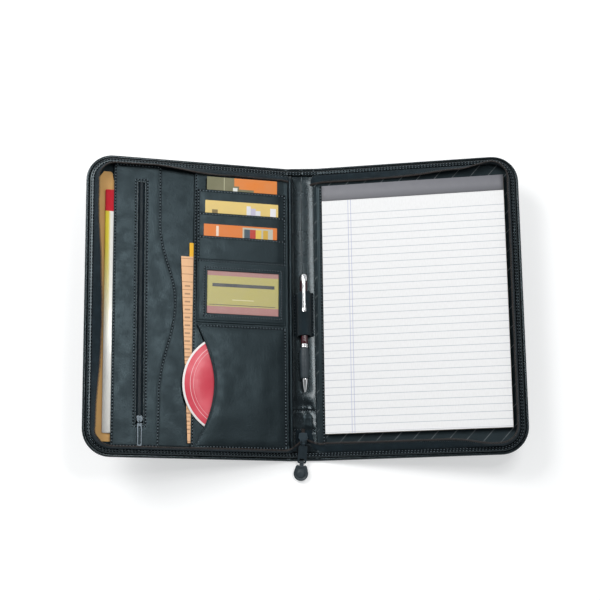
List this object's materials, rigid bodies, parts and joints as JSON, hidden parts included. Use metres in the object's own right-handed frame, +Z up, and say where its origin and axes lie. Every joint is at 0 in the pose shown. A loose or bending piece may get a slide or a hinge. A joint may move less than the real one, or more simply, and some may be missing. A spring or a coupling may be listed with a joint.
{
  "type": "portfolio case",
  "caption": "Zip-around leather portfolio case lying open on its spine, with inner pockets, a ruled writing pad, a pen in its loop, cards, a disc and papers.",
  "frame": {"origin": "centre of the spine's underside, on the surface the case lies on", "axes": "+X across the open case towards the writing pad, +Y along the spine away from the zip pull, +Z up"},
  "size_m": [0.5048, 0.3773, 0.0838],
  "materials": {
    "case_leather": "satin",
    "lining": "satin",
    "pocket_leather": "satin",
    "stiffener_board": "matte",
    "zip_tape": "matte",
    "zip_coil": "satin",
    "black_metal": "satin",
    "chrome": "polished",
    "rubber": "matte",
    "burgundy": "gloss",
    "refill_brass": "satin",
    "white_paper": "matte",
    "grey_paper": "matte",
    "backing_board": "matte",
    "manila": "matte",
    "booklet_cover": "gloss",
    "amber_paper": "matte",
    "peach_paper": "matte",
    "card_olive": "satin",
    "card_yellow": "satin",
    "card_orange": "satin",
    "id_gold": "satin",
    "clear_film": "gloss",
    "disc_plastic": "gloss"
  },
  "bodies": {
    "spine": {"spine_leather": "case_leather", "spine_lining": "lining", "spine_binding_top": "case_leather", "spine_binding_bottom": "case_leather", "pen_loop": "zip_tape", "zip_end_tape": "zip_tape", "zip_tongue": "pocket_leather", "main_zip_slider": "black_metal"},
    "pull_plate": {"main_pull_plate": "black_metal"},
    "pull_grip": {"rubber_grip": "rubber"},
    "left_cover": {"left_cover_leather": "case_leather", "left_stiffener": "stiffener_board", "left_lining": "lining", "left_edge_binding": "case_leather", "left_piping": "case_leather", "left_zip_tape": "zip_tape", "left_zip_coil": "zip_coil", "curved_pocket_panel": "pocket_leather", "zip_pocket_panel": "pocket_leather", "pocket_zip_tape": "zip_tape", "pocket_zip_coil": "zip_coil", "card_panel": "pocket_leather", "card_panel_roll": "pocket_leather", "card_slot_1": "pocket_leather", "card_slot_2": "pocket_leather", "card_slot_3": "pocket_leather", "id_window_frame": "pocket_leather", "id_window_film": "clear_film", "disc_pocket": "pocket_leather", "manila_folder": "manila"},
    "pocket_slider": {"pocket_zip_slider": "black_metal"},
    "pocket_pull": {"pocket_zip_pull": "black_metal"},
    "booklet": {"booklet": "booklet_cover"},
    "amber_note": {"amber_note": "amber_paper"},
    "receipt": {"receipt": "peach_paper"},
    "card_1": {"card_1": "card_olive"},
    "card_2": {"card_2": "card_yellow"},
    "card_3": {"card_3": "card_orange"},
    "id_card": {"id_card": "id_gold"},
    "disc": {"disc": "disc_plastic"},
    "right_cover": {"right_cover_leather": "case_leather", "right_stiffener": "stiffener_board", "right_lining": "lining", "right_edge_binding": "case_leather", "right_piping": "case_leather", "right_zip_tape": "zip_tape", "right_zip_coil": "zip_coil", "pad_panel": "lining", "pad_panel_strip": "pocket_leather", "pad_backing": "backing_board", "pad_sheets": "white_paper", "pad_header": "grey_paper"},
    "top_sheet": {"top_sheet": "white_paper"},
    "pen": {"pen_cap": "chrome", "pen_clip": "chrome", "pen_barrel": "burgundy"},
    "pen_lower": {"pen_ring": "chrome", "pen_grip": "rubber", "pen_tip": "chrome"},
    "refill": {"pen_refill": "refill_brass"}
  },
  "joints": [
    {"name": "left_cover_fold", "type": "hinge", "parent": "spine", "child": "left_cover", "pos_m": [-0.0179, 0, 0.003], "axis": [0, -1, 0], "range_deg": [-73.2, 16.8]},
    {"name": "right_cover_fold", "type": "hinge", "parent": "spine", "child": "right_cover", "pos_m": [0.0179, 0, 0.003], "axis": [0, 1, 0], "range_deg": [-79.5, 10.5]},
    {"name": "pull_plate_swing", "type": "hinge", "parent": "spine", "child": "pull_plate", "pos_m": [-0.0012, -0.1575, 0.0086], "axis": [-1, 0, 0], "range_deg": [0, 120]},
    {"name": "pull_grip_swing", "type": "hinge", "parent": "pull_plate", "child": "pull_grip", "pos_m": [-0.0012, -0.17926, 0.00535], "axis": [-1, 0, 0], "range_deg": [0, 100]},
    {"name": "pocket_zip_slide", "type": "slide", "parent": "left_cover", "child": "pocket_slider", "axis": [0, 1, 0], "range_m": [0, 0.272]},
    {"name": "pocket_pull_swing", "type": "hinge", "parent": "pocket_slider", "child": "pocket_pull", "pos_m": [-0.18566, -0.1392, 0.06148], "axis": [-0.9573, 0, 0.289], "range_deg": [0, 120]},
    {"name": "booklet_slide", "type": "slide", "parent": "left_cover", "child": "booklet", "axis": [-0.9573, 0, 0.289], "range_m": [0, 0.008]},
    {"name": "note_slide", "type": "slide", "parent": "left_cover", "child": "amber_note", "axis": [-0.9573, 0, 0.289], "range_m": [0, 0.075]},
    {"name": "receipt_slide", "type": "slide", "parent": "left_cover", "child": "receipt", "axis": [-0.9573, 0, 0.289], "range_m": [0, 0.038]},
    {"name": "card_1_slide", "type": "slide", "parent": "left_cover", "child": "card_1", "axis": [0.0164, 0.9984, 0.0543], "range_m": [0, 0.04]},
    {"name": "card_2_slide", "type": "slide", "parent": "left_cover", "child": "card_2", "axis": [0.0164, 0.9984, 0.0543], "range_m": [0, 0.04]},
    {"name": "card_3_slide", "type": "slide", "parent": "left_cover", "child": "card_3", "axis": [0.0164, 0.9984, 0.0543], "range_m": [0, 0.04]},
    {"name": "id_card_slide", "type": "slide", "parent": "left_cover", "child": "id_card", "axis": [0.0164, 0.9984, 0.0543], "range_m": [0, 0.067]},
    {"name": "disc_slide", "type": "slide", "parent": "left_cover", "child": "disc", "axis": [-0.9573, 0, 0.289], "range_m": [0, 0.095]},
    {"name": "top_sheet_turn", "type": "hinge", "parent": "right_cover", "child": "top_sheet", "pos_m": [0.01624, 0.13242, 0.01195], "axis": [-0.9833, 0, -0.1822], "range_deg": [0, 150]},
    {"name": "pen_slide", "type": "slide", "parent": "spine", "child": "pen", "axis": [0, 1, 0], "range_m": [0, 0.125]},
    {"name": "pen_twist", "type": "hinge", "parent": "pen", "child": "pen_lower", "pos_m": [0.0016, -0.043, 0.0107], "axis": [0, 1, 0], "range_deg": [0, 120]},
    {"name": "refill_slide", "type": "slide", "parent": "pen", "child": "refill", "axis": [0, -1, 0], "range_m": [0, 0.0045]}
  ],
  "couplings": [
    {"joint": "pen_twist", "follows": "refill_slide", "rad_per_m": 465.4}
  ]
}
